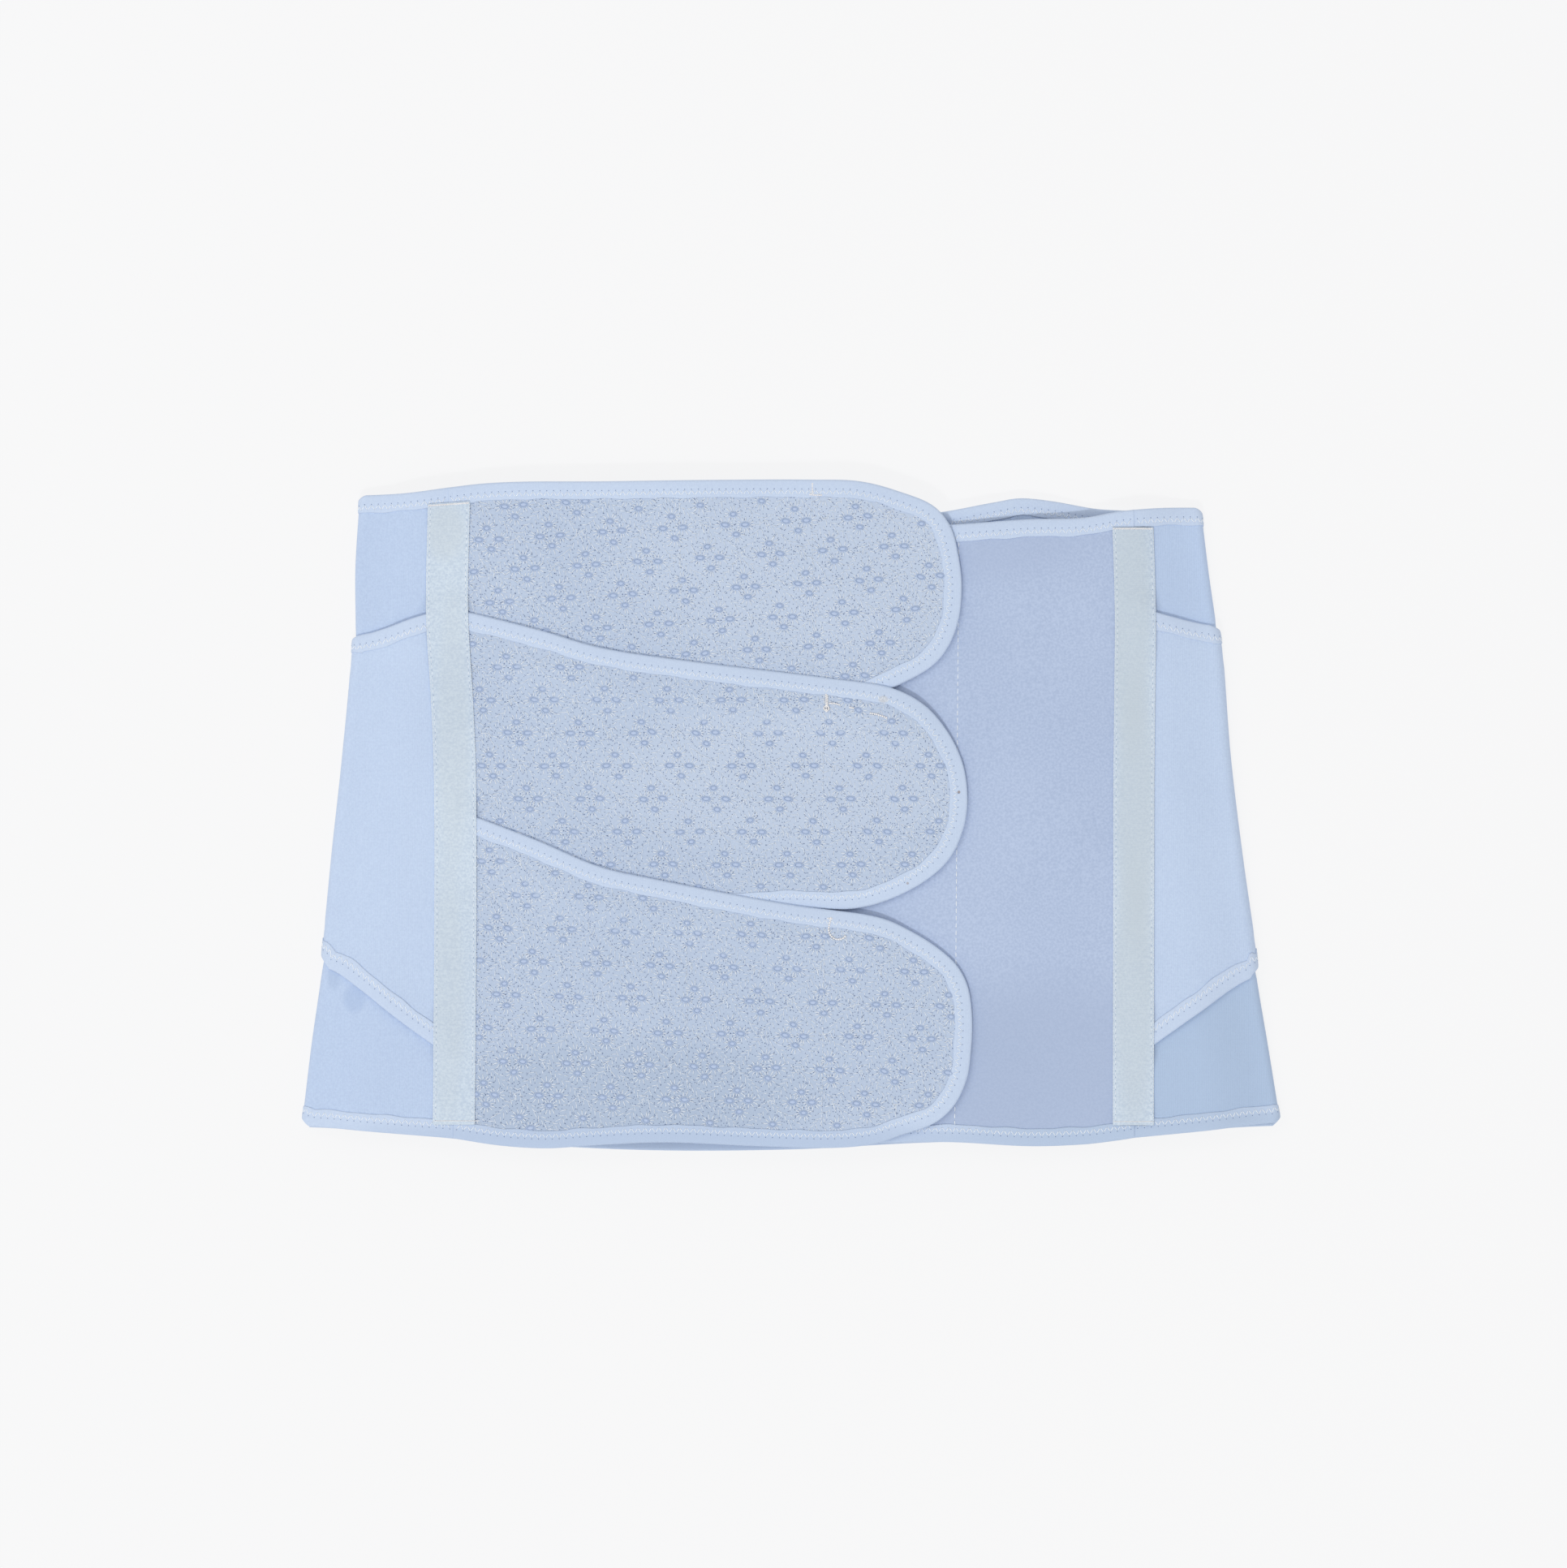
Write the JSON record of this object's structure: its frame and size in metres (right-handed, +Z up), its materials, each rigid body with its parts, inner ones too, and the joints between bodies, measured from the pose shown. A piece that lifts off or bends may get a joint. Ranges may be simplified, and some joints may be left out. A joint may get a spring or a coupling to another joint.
{
  "type": "abdominal binder",
  "caption": "Closed stretch-knit abdominal binder lying flat: wrap-round body with an overlay band, woven tapes, fleece panel and round-tipped embroidered flaps.",
  "frame": {"origin": "the middle of the binder's outline, on the surface that it lies on", "axes": "+X from the left side fold to the right one as seen from above, +Y from the hip hem to the chest hem, +Z up through the front"},
  "size_m": [0.4572, 0.3122, 0.0228],
  "materials": {
    "knit": "light blue cotton stretch jersey",
    "binding": "light blue folded knit binding with zigzag stitching",
    "embroidery": "light blue cloth with a pale all-over eyelet embroidery",
    "fleece": "brushed periwinkle loop fleece",
    "elastic": "pale ribbed woven elastic",
    "hook": "pale blue hook tape"
  },
  "bodies": {
    "root": {"body_panel": "knit", "body_top_binding": "binding", "body_bottom_binding": "binding", "overlay_band": "knit", "overlay_top_binding": "binding", "overlay_bottom_binding": "binding", "loop_panel": "fleece", "loop_top_binding": "binding", "loop_bottom_binding": "binding", "upper_flap": "embroidery", "upper_flap_binding": "binding", "upper_hook_pad": "hook", "middle_flap": "embroidery", "middle_flap_binding": "binding", "middle_hook_pad": "hook", "lower_flap": "embroidery", "lower_flap_binding": "binding", "lower_hook_pad": "hook", "left_tape": "elastic", "right_tape": "elastic"}
  },
  "joints": []
}
